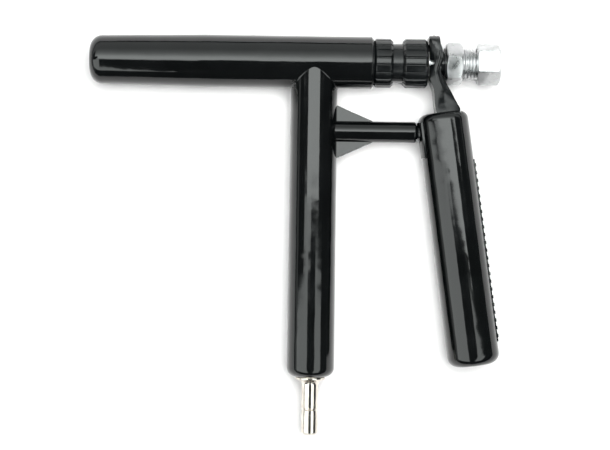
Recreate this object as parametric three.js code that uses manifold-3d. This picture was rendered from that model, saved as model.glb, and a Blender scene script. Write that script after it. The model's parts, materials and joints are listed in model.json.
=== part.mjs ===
// Hand-held brine and meat injector, lying on its side.
// A moulded T-shaped body holds a spring-returned dosing piston. Squeezing the lever
// rocks it on a ball at the end of the body's post, and its yoke pushes the piston rod
// and the threaded needle fitting out of the barrel.
//
// Units are millimetres. In the gun group the origin is where the barrel and handle axes
// cross, +X runs to the needle, +Y away from the hose tail and +Z up from the table.

import * as THREE from 'three';
import { mergeVertices } from 'three/addons/utils/BufferGeometryUtils.js';
import Module from 'manifold-3d';

const wasm = await Module();
wasm.setup();

// ---------------------------------------------------------------- driving dimensions

const BARREL = { rear: -112, front: 28.8, rearRadius: 12.05, radius: 13, fullFrom: -55, corner: 6 };
const HANDLE = { end: 157, topRadius: 11.6, endRadius: 11.85, corner: 4.5, depth: 1.08 };
const POST = { axisY: -34.4, end: 51.1, radius: 5.25, chamfer: 0.9 };
const GUSSET = { thickness: 2, root: 10.5, tip: 30, upperRise: 13.5, lowerDrop: 14, tipDepth: 5 };
const RIBBED = { radius: 12.2, grooveRadius: 11.7, ribs: 20, chamfer: 1.2 };
const LOCK_RING = { start: 29.5, end: 39 };
const DOSE_COLLAR = { start: 44, end: 56.3 };
const NOSE_RADIUS = 9.75;
const ROD = { radius: 5, rearRadius: 3, bore: 2.4, rear: -99, front: 70 };
const HEX = { start: 65.4, end: 73.9, acrossFlats: 18.6, turn: -15 };
const STEM = { end: 87.5, radius: 7.75, bore: 4.1, threadPitch: 1.5, threadDepth: 0.7 };
const UNION_NUT = { start: 81.2, end: 92.5, acrossFlats: 18.2, turn: 23.4, hole: 4.2 };
const TAIL = { flareRadius: 7.4, radius: 4.15, end: 186, bore: 2.6, groove: 173.3 };
const GRIP = { topX: 64.1, topY: -24.4, tilt: 8.1, length: 127, topRadius: 12.6, endRadius: 12.95 };
const FULCRUM = { x: 54.6, radius: 4.7 };
const YOKE = {
  halfWidth: 10.8, slotHalfWidth: 6.6, slotTop: 9.6, slotBottom: -7, neckHalfWidth: 7.4, top: 14.2, round: 3,
};

const GAP = 0.3;
const SLIDING_GAP = 0.15;
const REAR_CLEAR = ROD.rearRadius + 0.2;
const FINE = 36;
const COARSE = 18;
const DEG = Math.PI / 180;

// ---------------------------------------------------------------- materials

function finish(color, roughness, metalness) {
  return { color, roughness, metalness };
}

const GLOSS_BLACK = finish(0x0c0e10, 0.18, 0);
const SATIN_BLACK = finish(0x15181a, 0.45, 0);
const CHROME = finish(0xd9dadc, 0.12, 1);
const NICKEL = finish(0xb9b0a4, 0.25, 1);
const STEEL = finish(0x9a9da0, 0.35, 1);
const BRASS = finish(0xb08d4a, 0.35, 1);
const RUBBER = finish(0x1b1b1b, 0.85, 0);
const ACETAL = finish(0xe6e2d6, 0.5, 0);

// ---------------------------------------------------------------- geometry helpers

// Leaves only shared positions, drops collapsed triangles and turns the faces outward.
function solid(geometry) {
  geometry.deleteAttribute('normal');
  geometry.deleteAttribute('uv');
  const merged = mergeVertices(geometry, 1e-4);
  const source = merged.index.array;
  const kept = [];
  let volume = 0;
  const [a, b, c] = [new THREE.Vector3(), new THREE.Vector3(), new THREE.Vector3()];
  for (let i = 0; i < source.length; i += 3) {
    const [p, q, r] = [source[i], source[i + 1], source[i + 2]];
    if (p === q || q === r || r === p) continue;
    kept.push(p, q, r);
    a.fromBufferAttribute(merged.attributes.position, p);
    b.fromBufferAttribute(merged.attributes.position, q);
    c.fromBufferAttribute(merged.attributes.position, r);
    volume += a.dot(b.cross(c));
  }
  if (volume < 0) kept.reverse();
  merged.setIndex(kept);
  return merged;
}

function toManifold(geometry) {
  const clean = solid(geometry);
  return new wasm.Manifold(new wasm.Mesh({
    numProp: 3,
    vertProperties: new Float32Array(clean.attributes.position.array),
    triVerts: new Uint32Array(clean.index.array),
  }));
}

function toGeometry(manifold) {
  const mesh = manifold.getMesh();
  const geometry = new THREE.BufferGeometry();
  geometry.setAttribute('position', new THREE.BufferAttribute(mesh.vertProperties, 3));
  geometry.setIndex(new THREE.BufferAttribute(mesh.triVerts, 1));
  return geometry;
}

function join(...geometries) {
  return toGeometry(geometries.map(toManifold).reduce((sum, next) => sum.add(next)));
}

function cut(base, ...tools) {
  return toGeometry(tools.map(toManifold).reduce((rest, tool) => rest.subtract(tool), toManifold(base)));
}

function common(...geometries) {
  return toGeometry(geometries.map(toManifold).reduce((sum, next) => sum.intersect(next)));
}

// Turns a profile of [position along the axis, radius] pairs about the local Y axis.
function turned(profile, segments = COARSE) {
  const points = profile.map(([along, radius]) => new THREE.Vector2(radius, along));
  return new THREE.LatheGeometry(points, segments);
}

// A turned ring with an inner and an outer radius.
function ring(start, end, inner, outer) {
  return turned([[start, inner], [start, outer], [end, outer], [end, inner], [start, inner]]);
}

function rod(start, end, radius, segments = COARSE) {
  return turned([[start, 0], [start, radius], [end, radius], [end, 0]], segments);
}

// Points on a quarter round from the side of a turned shape to its flat end.
function roundedEnd(sideRadius, end, corner, direction, steps = 5) {
  return Array.from({ length: steps + 1 }, (_, i) => {
    const angle = (i / steps) * 90 * DEG;
    const along = end - direction * corner * (1 - Math.sin(angle));
    return [along, sideRadius - corner * (1 - Math.cos(angle))];
  });
}

// A coil spring about the local Y axis, with its end turns closed up.
function coilSpring(start, end, { meanRadius, wireRadius, turns, stepsPerTurn, sides }) {
  class Helix extends THREE.Curve {
    getPoint(t, target = new THREE.Vector3()) {
      const angle = t * turns * 2 * Math.PI;
      const inner = end - start - 2 * wireRadius;
      const along = start + wireRadius + inner * THREE.MathUtils.smoothstep(t, -0.04, 1.04);
      return target.set(meanRadius * Math.cos(angle), along, meanRadius * Math.sin(angle));
    }
  }
  const section = new THREE.Shape();
  for (let i = 0; i < sides; i += 1) {
    const angle = (i / sides) * 2 * Math.PI;
    const [x, y] = [wireRadius * Math.cos(angle), wireRadius * Math.sin(angle)];
    if (i === 0) section.moveTo(x, y);
    else section.lineTo(x, y);
  }
  section.closePath();
  return new THREE.ExtrudeGeometry(section, {
    steps: Math.round(turns * stepsPerTurn),
    extrudePath: new Helix(),
    curveSegments: sides,
  });
}

// A hexagonal bar along the local Y axis, with the corners of its ends turned off.
function hexBar(start, end, acrossFlats, turn, frontChamfer, rearChamfer) {
  const corner = acrossFlats / Math.sqrt(3);
  const bar = new THREE.CylinderGeometry(corner, corner, end - start, 6);
  bar.rotateY(turn * DEG);
  bar.translate(0, (start + end) / 2, 0);
  const flat = acrossFlats / 2;
  const envelope = turned([
    [start, 0], [start, corner - rearChamfer * 2], [start + rearChamfer, corner + GAP],
    [end - frontChamfer, corner + GAP], [end, flat - 0.4], [end, 0],
  ], FINE);
  return common(bar, envelope);
}

// A collar whose outside has evenly spaced grooves between wide ribs.
function ribbedCollar(start, end, innerProfile) {
  const { radius, grooveRadius, ribs, chamfer } = RIBBED;
  const outline = new THREE.Shape();
  const pitch = (2 * Math.PI) / ribs;
  const grooveShare = 0.22;
  for (let i = 0; i < ribs; i += 1) {
    const corners = [
      [radius, 0], [radius, 1 - grooveShare * 1.5],
      [grooveRadius, 1 - grooveShare], [grooveRadius, 1 - grooveShare * 0.5],
    ];
    corners.forEach(([r, share], j) => {
      const angle = (i + share) * pitch;
      const point = [r * Math.cos(angle), r * Math.sin(angle)];
      if (i === 0 && j === 0) outline.moveTo(...point);
      else outline.lineTo(...point);
    });
  }
  outline.closePath();
  const outside = new THREE.ExtrudeGeometry(outline, { depth: end - start, bevelEnabled: false });
  outside.rotateX(-90 * DEG);
  outside.translate(0, start, 0);
  const envelope = turned([
    [start, 0], [start, radius - chamfer], [start + chamfer, radius + 0.1],
    [end - chamfer, radius + 0.1], [end, radius - chamfer], [end, 0],
  ], FINE);
  return cut(common(outside, envelope), turned(innerProfile, COARSE));
}

function box(minimum, maximum) {
  const size = maximum.map((value, i) => value - minimum[i]);
  const geometry = new THREE.BoxGeometry(...size);
  return geometry.translate(...maximum.map((value, i) => (value + minimum[i]) / 2));
}

function polygon(points) {
  const shape = new THREE.Shape();
  points.forEach(([x, y], i) => (i === 0 ? shape.moveTo(x, y) : shape.lineTo(x, y)));
  shape.closePath();
  return shape;
}

// Extrudes an outline drawn in the gun's plane, evenly to both sides of it.
function plate(shape, thickness) {
  const geometry = new THREE.ExtrudeGeometry(shape, { depth: thickness, bevelEnabled: false, curveSegments: 6 });
  return geometry.translate(0, 0, -thickness / 2);
}

// ---------------------------------------------------------------- groups

const gun = new THREE.Group();

function axisGroup(x, y, turn) {
  const group = new THREE.Group();
  group.position.set(x, y, 0);
  group.rotation.z = turn * DEG;
  group.updateMatrix();
  gun.add(group);
  return group;
}

// Local +Y runs to the needle, down the handle, along the post and down the grip.
const barrelAxis = axisGroup(0, 0, -90);
const handleAxis = axisGroup(0, 0, 180);
const postAxis = axisGroup(0, POST.axisY, -90);
const gripAxis = axisGroup(GRIP.topX, GRIP.topY, 180 + GRIP.tilt);

function place(group, name, geometry, look) {
  const mesh = new THREE.Mesh(solid(geometry), new THREE.MeshStandardMaterial(look));
  mesh.name = name;
  group.add(mesh);
}

// Moves a geometry from one group's space into the gun's space.
function intoGun(geometry, group) {
  return geometry.applyMatrix4(group.matrix);
}

// ---------------------------------------------------------------- moulded body

const LINER = { start: -41.2, end: 20.3, inner: 7.6, outer: 9.1 };
const BARREL_BORE = { rear: -105, rearRadius: 8.6, step: -44.9, frontRadius: 9.4, mouth: 20.6, mouthRadius: 10.2 };
const HANDLE_BORE = { radius: 6.1, start: 24, portRadius: 3.4 };
const PIN = { radius: 2.2, start: 40 };

function barrelOutside() {
  const { rear, front, rearRadius, radius, fullFrom, corner } = BARREL;
  return turned([
    [rear, 0],
    ...roundedEnd(rearRadius, rear, corner, -1).reverse(),
    [fullFrom, radius], [front - 0.6, radius], [front, radius - 0.6], [front, 0],
  ], FINE);
}

// The handle is a little deeper than it is wide, so it meets the barrel near its crown.
function handleOutside() {
  const { end, topRadius, endRadius, corner, depth } = HANDLE;
  const round = turned([[0, 0], [0, topRadius], ...roundedEnd(endRadius, end, corner, 1), [end, 0]], FINE);
  return intoGun(round, handleAxis).scale(1, 1, depth);
}

function postOutside() {
  const { end, radius, chamfer } = POST;
  return turned([[0, 0], [0, radius], [end - chamfer, radius], [end, radius - chamfer], [end, 0]], COARSE);
}

function gussets() {
  const { thickness, root, tip, upperRise, lowerDrop, tipDepth } = GUSSET;
  const y = POST.axisY;
  const corners = [
    [root, y + upperRise], [tip, y + tipDepth], [tip + 3, y], [tip, y - tipDepth], [root, y - lowerDrop],
  ];
  return plate(polygon(corners), thickness);
}

function bodyBores() {
  const b = BARREL_BORE;
  const barrel = turned([
    [b.rear, 0], [b.rear, b.rearRadius - 3], [b.rear + 3, b.rearRadius],
    [b.step, b.rearRadius], [b.step, b.frontRadius],
    [b.mouth, b.frontRadius], [b.mouth, b.mouthRadius],
    [BARREL.front + 1, b.mouthRadius], [BARREL.front + 1, 0],
  ], COARSE);
  const handle = turned([
    [0, 0], [0, HANDLE_BORE.portRadius], [HANDLE_BORE.start, HANDLE_BORE.portRadius],
    [HANDLE_BORE.start, HANDLE_BORE.radius], [HANDLE.end + 1, HANDLE_BORE.radius], [HANDLE.end + 1, 0],
  ], COARSE);
  const pin = rod(PIN.start - GAP, POST.end + 1, PIN.radius + SLIDING_GAP, COARSE);
  return [intoGun(barrel, barrelAxis), intoGun(handle, handleAxis), intoGun(pin, postAxis)];
}

// The round hollow that clears the fulcrum ball.
function fulcrumPocket(clearance) {
  const pocket = new THREE.SphereGeometry(FULCRUM.radius + clearance, 20, 14);
  return pocket.translate(FULCRUM.x, POST.axisY, 0);
}

function mouldedBody() {
  const outside = join(
    intoGun(barrelOutside(), barrelAxis),
    handleOutside(),
    intoGun(postOutside(), postAxis),
    gussets(),
  );
  return cut(outside, fulcrumPocket(GAP), ...bodyBores());
}

place(gun, 'gun_body', mouldedBody(), GLOSS_BLACK);

// ---------------------------------------------------------------- fixed parts in the barrel

const SEAT = { start: -44.6, end: -41.5 };
const GLAND = { start: 22.6, end: 48.6, bore: ROD.radius + SLIDING_GAP };
const GLAND_SEAL = { end: 26.4, radius: 7 };
const GUIDE = { start: 34, end: 48.3, radius: 6.4 };
const GLAND_O_RING = { start: 20.9, end: 22.3, inner: 8.6, outer: 9.9 };
const ROD_SEAL = { start: 22.9, end: 26.1 };

function cylinderLiner() {
  const tube = ring(LINER.start, LINER.end, LINER.inner, LINER.outer);
  const port = rod(0, 12, HANDLE_BORE.portRadius, 12);
  port.rotateZ(90 * DEG);
  return cut(tube, port);
}

function frontGland() {
  return turned([
    [GLAND.start, GLAND_SEAL.radius], [GLAND.start, BARREL_BORE.mouthRadius - 0.2],
    [BARREL.front, BARREL_BORE.mouthRadius - 0.2], [BARREL.front, NOSE_RADIUS],
    [GLAND.end - 0.8, NOSE_RADIUS], [GLAND.end, NOSE_RADIUS - 0.8],
    [GLAND.end, GUIDE.radius + 0.2], [GUIDE.start - GAP, GUIDE.radius + 0.2],
    [GUIDE.start - GAP, GLAND.bore], [GLAND_SEAL.end, GLAND.bore],
    [GLAND_SEAL.end, GLAND_SEAL.radius], [GLAND.start, GLAND_SEAL.radius],
  ], COARSE);
}

place(barrelAxis, 'spring_seat', ring(SEAT.start, SEAT.end, REAR_CLEAR, LINER.outer), BRASS);
place(barrelAxis, 'cylinder_liner', cylinderLiner(), STEEL);
place(barrelAxis, 'front_gland', frontGland(), SATIN_BLACK);
place(barrelAxis, 'gland_o_ring', ring(
  GLAND_O_RING.start, GLAND_O_RING.end, GLAND_O_RING.inner, GLAND_O_RING.outer,
), RUBBER);
place(barrelAxis, 'rod_seal', ring(
  ROD_SEAL.start, ROD_SEAL.end, GLAND.bore, GLAND_SEAL.radius - SLIDING_GAP,
), RUBBER);
place(barrelAxis, 'rod_guide_bush', ring(GUIDE.start, GUIDE.end, GLAND.bore, GUIDE.radius), ACETAL);

// ---------------------------------------------------------------- ribbed rings on the nose

const THREAD_CLEAR = NOSE_RADIUS + GAP;
const COLLAR_LIP = { start: 54.6, hole: 7 };
const STOP = { start: 53.1, flange: 9.6, hub: 6.7, hubStart: 54.3 };
const WASHER_RADIUS = 11.9;

place(barrelAxis, 'lock_washer', ring(
  BARREL.front + SLIDING_GAP, LOCK_RING.start - SLIDING_GAP, THREAD_CLEAR, WASHER_RADIUS,
), SATIN_BLACK);

place(barrelAxis, 'lock_ring', ribbedCollar(LOCK_RING.start, LOCK_RING.end, [
  [LOCK_RING.start - 1, 0], [LOCK_RING.start - 1, THREAD_CLEAR],
  [LOCK_RING.end + 1, THREAD_CLEAR], [LOCK_RING.end + 1, 0],
]), SATIN_BLACK);

place(barrelAxis, 'dose_collar', ribbedCollar(DOSE_COLLAR.start, DOSE_COLLAR.end, [
  [DOSE_COLLAR.start - 1, 0], [DOSE_COLLAR.start - 1, THREAD_CLEAR],
  [COLLAR_LIP.start, THREAD_CLEAR], [COLLAR_LIP.start, COLLAR_LIP.hole],
  [DOSE_COLLAR.end + 1, COLLAR_LIP.hole], [DOSE_COLLAR.end + 1, 0],
]), SATIN_BLACK);

place(barrelAxis, 'dose_stop', turned([
  [STOP.start, ROD.radius + GAP], [STOP.start, STOP.flange], [STOP.hubStart, STOP.flange],
  [STOP.hubStart, STOP.hub], [DOSE_COLLAR.end, STOP.hub], [DOSE_COLLAR.end, ROD.radius + GAP],
  [STOP.start, ROD.radius + GAP],
]), BRASS);

// ---------------------------------------------------------------- piston, rod and return spring

const PISTON = {
  start: -34, end: -20, radius: 7.3, groove: 6.2, grooveWidth: 2.4, land: 2.2, recess: 4.4, recessDepth: 2.3,
};
const SEAL_WIDTH = 1.9;
const SHOULDER_RADIUS = 4.2;
const CROSS_PORT = { along: -15.5, radius: 1.4 };
const SPRING = { meanRadius: 5.7, wireRadius: 0.7, turns: 9, stepsPerTurn: 10, sides: 5 };
const STOP_RING = { end: 57.8, radius: 6.1 };
const NUT = { start: -98.4, end: -94.6, acrossFlats: 10 };
const CUP = { start: -94.3, end: -92.9, radius: 7.6 };

function pistonRod() {
  const shaft = turned([
    [ROD.rear, 0], [ROD.rear, ROD.rearRadius - 0.6], [ROD.rear + 0.6, ROD.rearRadius],
    [PISTON.end - 2, ROD.rearRadius], [PISTON.end - 2, SHOULDER_RADIUS], [PISTON.end + GAP, SHOULDER_RADIUS],
    [PISTON.end + GAP, ROD.radius], [ROD.front, ROD.radius], [ROD.front, ROD.bore],
    [CROSS_PORT.along - 1.5, ROD.bore], [CROSS_PORT.along - 2.5, 0],
  ], COARSE);
  const crossPort = rod(-ROD.radius - 3, ROD.radius + 3, CROSS_PORT.radius, 10);
  crossPort.rotateX(90 * DEG);
  crossPort.translate(0, CROSS_PORT.along, 0);
  return cut(shaft, crossPort);
}

function piston() {
  const { start, end, radius, groove, grooveWidth, land, recess, recessDepth } = PISTON;
  const inner = REAR_CLEAR;
  const grooves = [start + land, end - land - grooveWidth];
  const outside = grooves.flatMap((g) => [
    [g, radius], [g, groove], [g + grooveWidth, groove], [g + grooveWidth, radius],
  ]);
  return turned([
    [start, inner], [start, radius], ...outside, [end, radius], [end, recess], [end - recessDepth, recess],
    [end - recessDepth, inner], [start, inner],
  ], COARSE);
}

place(barrelAxis, 'piston_rod', pistonRod(), CHROME);
place(barrelAxis, 'piston', piston(), BRASS);
const sealStarts = {
  piston_seal_rear: PISTON.start + PISTON.land + 0.2,
  piston_seal_front: PISTON.end - PISTON.land - PISTON.grooveWidth + 0.2,
};
for (const [name, start] of Object.entries(sealStarts)) {
  const seal = ring(start, start + SEAL_WIDTH, PISTON.groove + SLIDING_GAP, LINER.inner - SLIDING_GAP);
  place(barrelAxis, name, seal, RUBBER);
}
place(barrelAxis, 'spring_cup', ring(CUP.start, CUP.end, REAR_CLEAR, CUP.radius), BRASS);
place(barrelAxis, 'rod_nut', cut(
  hexBar(NUT.start, NUT.end, NUT.acrossFlats, 0, 0.5, 0.5),
  rod(NUT.start - 1, NUT.end + 1, REAR_CLEAR),
), STEEL);
place(barrelAxis, 'return_spring', coilSpring(CUP.end + GAP, SEAT.start - GAP, SPRING), STEEL);
place(barrelAxis, 'stop_ring', ring(
  DOSE_COLLAR.end + GAP, STOP_RING.end, ROD.radius + 0.1, STOP_RING.radius,
), STEEL);

// ---------------------------------------------------------------- needle fitting

const THRUST = { hubStart: 63, hub: 5.8, flange: 7.9, flangeStart: 64.55 };
const OUTLET = {
  seatStart: 70.6, seatEnd: 72.2, seatHole: 1.3, ball: 1.9, ballAt: 73.9, springStart: 76.1, springEnd: 82.2,
  retainerStart: 82.5, retainerEnd: 83.7, retainerHole: 1.6,
};
const OUTLET_SPRING = { meanRadius: 1.9, wireRadius: 0.3, turns: 4, stepsPerTurn: 8, sides: 5 };
const CLAMP_RING = { start: 88, end: 90.4, radius: 7.4 };
const NUT_WALL = 1.8;
const INSERT_RADIUS = STEM.bore - 0.1;

function threadProfile(start, end, radius, pitch, depth) {
  const count = Math.floor((end - start) / pitch);
  return Array.from({ length: count }, (_, i) => [
    [start + i * pitch, radius], [start + (i + 0.5) * pitch, radius - depth],
  ]).flat();
}

function needleFitting() {
  const body = hexBar(HEX.start, HEX.end, HEX.acrossFlats, HEX.turn, 1.6, 1.1);
  const stem = turned([
    [HEX.end - 1, 0], [HEX.end - 1, STEM.radius - STEM.threadDepth],
    ...threadProfile(HEX.end + 0.4, UNION_NUT.start + 3, STEM.radius, STEM.threadPitch, STEM.threadDepth),
    [STEM.end - 1, STEM.radius - STEM.threadDepth], [STEM.end, 6.4], [STEM.end, 0],
  ], COARSE);
  const bore = turned([
    [HEX.start - 1, 0], [HEX.start - 1, ROD.radius + 0.2], [ROD.front + GAP, ROD.radius + 0.2],
    [ROD.front + GAP, STEM.bore], [STEM.end + 1, STEM.bore], [STEM.end + 1, 0],
  ], COARSE);
  return cut(join(body, stem), bore);
}

function unionNut() {
  const { start, end, acrossFlats, turn, hole } = UNION_NUT;
  const cavity = turned([
    [start - 1, 0], [start - 1, STEM.radius + GAP], [end - NUT_WALL, STEM.radius + GAP],
    [end - NUT_WALL, hole], [end + 1, hole], [end + 1, 0],
  ], COARSE);
  return cut(hexBar(start, end, acrossFlats, turn, 1.4, 0.5), cavity);
}

place(barrelAxis, 'thrust_washer', turned([
  [THRUST.hubStart, ROD.radius + 0.1], [THRUST.hubStart, THRUST.hub], [THRUST.flangeStart, THRUST.hub],
  [THRUST.flangeStart, THRUST.flange], [HEX.start - GAP, THRUST.flange], [HEX.start - GAP, ROD.radius + 0.1],
  [THRUST.hubStart, ROD.radius + 0.1],
]), SATIN_BLACK);
place(barrelAxis, 'needle_fitting', needleFitting(), CHROME);
place(barrelAxis, 'outlet_seat', ring(OUTLET.seatStart, OUTLET.seatEnd, OUTLET.seatHole, INSERT_RADIUS), BRASS);
place(barrelAxis, 'outlet_ball', new THREE.SphereGeometry(OUTLET.ball, 12, 8).translate(0, OUTLET.ballAt, 0), STEEL);
place(barrelAxis, 'outlet_spring', coilSpring(OUTLET.springStart, OUTLET.springEnd, OUTLET_SPRING), STEEL);
place(barrelAxis, 'outlet_retainer', ring(
  OUTLET.retainerStart, OUTLET.retainerEnd, OUTLET.retainerHole, INSERT_RADIUS,
), BRASS);
place(barrelAxis, 'needle_clamp_ring', ring(
  CLAMP_RING.start, CLAMP_RING.end, UNION_NUT.hole, CLAMP_RING.radius,
), BRASS);
place(barrelAxis, 'union_nut', unionNut(), CHROME);

// ---------------------------------------------------------------- handle feed line

const INLET = {
  start: 24.6, end: 42, top: 25.6, topHole: 2, chamber: 3.3, seat: 37.5, seatDepth: 0.9, hole: 1.7,
  ball: 2.4, ballAt: 34.6, springStart: 26, springEnd: 31.8,
};
const INLET_SPRING = { meanRadius: 2.5, wireRadius: 0.35, turns: 4, stepsPerTurn: 8, sides: 5 };
const FEED_SEAL = { start: 42.3, end: 43.3, inner: 3.6, outer: 5.6 };
const TAIL_SEAL = { start: 143.9, end: 144.9, inner: 3.2, outer: 5.6 };
const FEED = { start: 43.6, end: 143.6, inner: 3.4, outer: 5 };
const SHANK = { start: 145.2, radius: 5.8 };

function inletValveBody() {
  const outer = HANDLE_BORE.radius - 0.2;
  return turned([
    [INLET.start, INLET.topHole], [INLET.start, outer], [INLET.end, outer], [INLET.end, INLET.hole],
    [INLET.seat, INLET.hole], [INLET.seat - INLET.seatDepth, INLET.chamber],
    [INLET.top, INLET.chamber], [INLET.top, INLET.topHole], [INLET.start, INLET.topHole],
  ], COARSE);
}

function hoseTail() {
  const { flareRadius, radius, end, bore, groove } = TAIL;
  const flare = HANDLE.end + GAP;
  return turned([
    [SHANK.start, bore], [SHANK.start, SHANK.radius], [flare, SHANK.radius], [flare, flareRadius],
    [flare + 0.8, flareRadius], [flare + 2.4, radius + 0.5], [flare + 3.2, radius],
    [groove - 0.6, radius], [groove - 0.2, radius - 0.5], [groove + 0.2, radius - 0.5], [groove + 0.6, radius],
    [end - 1.2, radius], [end - 0.4, radius - 0.4], [end, radius - 1], [end, bore], [SHANK.start, bore],
  ], COARSE);
}

place(handleAxis, 'inlet_valve_body', inletValveBody(), BRASS);
place(handleAxis, 'inlet_ball', new THREE.SphereGeometry(INLET.ball, 12, 8).translate(0, INLET.ballAt, 0), STEEL);
place(handleAxis, 'inlet_spring', coilSpring(INLET.springStart, INLET.springEnd, INLET_SPRING), STEEL);
place(handleAxis, 'feed_tube_seal', ring(
  FEED_SEAL.start, FEED_SEAL.end, FEED_SEAL.inner, FEED_SEAL.outer,
), RUBBER);
place(handleAxis, 'feed_tube', ring(FEED.start, FEED.end, FEED.inner, FEED.outer), STEEL);
place(handleAxis, 'tail_seal', ring(
  TAIL_SEAL.start, TAIL_SEAL.end, TAIL_SEAL.inner, TAIL_SEAL.outer,
), RUBBER);
place(handleAxis, 'hose_tail', hoseTail(), NICKEL);

// ---------------------------------------------------------------- fulcrum ball

function fulcrumPin() {
  const ball = new THREE.SphereGeometry(FULCRUM.radius, 20, 14).translate(0, FULCRUM.x, 0);
  const shank = rod(PIN.start, FULCRUM.x, PIN.radius, COARSE);
  return join(ball, shank);
}

place(postAxis, 'fulcrum_pin', fulcrumPin(), SATIN_BLACK);

// ---------------------------------------------------------------- lever

const CORE = { start: 2, end: 121, radius: 10.9, topCorner: 3, endCorner: 2 };
const SLEEVE = { wall: 1.4, topCap: 1.7, endCap: 3, topCorner: 4, endCorner: 5, segments: 32 };
const NECK_HOLE = { low: [59.7, -33, -7.8], high: [73.4, -18, 7.8] };
const SHOE = { proud: 0.7, depth: 3, start: 3.6, end: 21.4, halfWidth: 6.4 };
const SHOE_SCREW = { y: -42.8, x: 54.6, length: 8.4, radius: 1.1 };
const GRIP_RIBS = { first: 27, count: 23, pitch: 3.9, width: 1.9, halfDepth: 2.2, proud: 0.5 };

// Radius of the grip at a distance along it.
function gripRadius(along) {
  return THREE.MathUtils.lerp(GRIP.topRadius, GRIP.endRadius, along / GRIP.length);
}

// Draws an outline from corners [x, y] and curves [control x, control y, x, y].
function drawn(path, outline) {
  path.forEach((step, i) => {
    if (i === 0) outline.moveTo(...step);
    else if (step.length === 2) outline.lineTo(...step);
    else outline.quadraticCurveTo(...step);
  });
  return outline;
}

// The side outline of the lever above the grip: top bar, arms with their cam lobes, neck.
const LEVER_SIDE = [
  [56.6, 12.6], [57, 10], [57.1, 1.6], [59.2, 1.2], [59.4, -0.8], [57.1, -1.4], [57.1, -7.5],
  [59.2, -13], [60.2, -21.8], [61.8, -30],
  [71.9, -30], [72.8, -22.4], [67.4, -13.9, 62.6, -4.4], [61.8, -1.4, 64.1, 1.6], [64.5, 3, 64, 4.4],
  [62.2, 9.4], [62, 12.4], [61.4, 14, 59.6, 14], [57.2, 14, 56.6, 12.6],
];

// The same lever seen along the rod: a stirrup round the rod that narrows into the neck.
function leverFrontOutline() {
  const { halfWidth: w, slotHalfWidth: s, slotTop, slotBottom, neckHalfWidth: n, top, round } = YOKE;
  const neck = { low: -31, high: -20 };
  const shape = drawn([
    [-n, neck.low], [-n, neck.high], [-w, -14, -w, -6], [-w, 5], [-w, top, 0, top], [w, top, w, 5],
    [w, -6], [w, -14, n, neck.high], [n, neck.low],
  ], new THREE.Shape());
  shape.closePath();
  shape.holes.push(drawn([
    [-s, slotTop - round], [-s, slotBottom + 5], [-s, slotBottom, 0, slotBottom],
    [s, slotBottom, s, slotBottom + 5], [s, slotTop - round], [s, slotTop, s - round, slotTop],
    [-s + round, slotTop], [-s, slotTop, -s, slotTop - round],
  ], new THREE.Path()));
  return shape;
}

// A saddle on the handle side of the grip, proud of the sleeve and sunk into the core.
function shoeBlank(clearance) {
  const { proud, depth, start, end, halfWidth } = SHOE;
  const [inner, outer] = [proud - depth - clearance, proud + clearance];
  const [low, high] = [start - clearance, end + clearance];
  const saddle = turned([
    [low, gripRadius(low) + inner], [low, gripRadius(low) + outer],
    [high, gripRadius(high) + outer], [high, gripRadius(high) + inner],
    [low, gripRadius(low) + inner],
  ], SLEEVE.segments);
  const reach = halfWidth + clearance;
  const window = box([0, low - 1, -reach], [GRIP.endRadius + 3, high + 1, reach]);
  return intoGun(common(saddle, window), gripAxis);
}

function shoeScrewBar(radius, extra) {
  const bar = rod(-extra, SHOE_SCREW.length + extra, radius, 12);
  bar.rotateZ(-90 * DEG);
  return bar.translate(SHOE_SCREW.x, SHOE_SCREW.y, 0);
}

function leverCore() {
  const side = plate(drawn(LEVER_SIDE, new THREE.Shape()), 2 * YOKE.halfWidth + 2);
  const front = new THREE.ExtrudeGeometry(leverFrontOutline(), { depth: 30, bevelEnabled: false, curveSegments: 6 });
  front.rotateY(90 * DEG);
  front.translate(50, 0, 0);
  const shaft = turned([
    [CORE.start, 0], [CORE.start, CORE.radius - CORE.topCorner], [CORE.start + CORE.topCorner, CORE.radius],
    [CORE.end - CORE.endCorner, CORE.radius], [CORE.end, CORE.radius - CORE.endCorner], [CORE.end, 0],
  ]);
  return cut(
    join(common(side, front), intoGun(shaft, gripAxis)),
    fulcrumPocket(GAP), shoeBlank(GAP), shoeScrewBar(SHOE_SCREW.radius + 0.25, 0.6),
  );
}

// The outer form of the grip, in the grip's own space.
function gripOutside() {
  const { topCorner, endCorner, segments } = SLEEVE;
  return turned([
    [0, 0],
    ...roundedEnd(GRIP.topRadius, 0, topCorner, -1).reverse(),
    ...roundedEnd(GRIP.endRadius, GRIP.length, endCorner, 1),
    [GRIP.length, 0],
  ], segments);
}

function gripSleeve() {
  const { wall, topCap, endCap, topCorner, endCorner, segments } = SLEEVE;
  const innerTop = GRIP.topRadius - wall;
  const end = GRIP.length - endCap;
  const cavity = turned([
    [topCap, 0], [topCap, innerTop - topCorner + 1.1], [topCorner + 0.6, innerTop],
    [GRIP.length - endCorner + 1, innerTop], [end, innerTop - 2], [end, 0],
  ], segments);
  const shell = intoGun(cut(gripOutside(), cavity), gripAxis);
  return cut(shell, box(NECK_HOLE.low, NECK_HOLE.high), fulcrumPocket(GAP), shoeBlank(GAP));
}

function fulcrumShoe() {
  return cut(shoeBlank(0), fulcrumPocket(GAP / 2), shoeScrewBar(SHOE_SCREW.radius + 0.25, 3));
}

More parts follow.
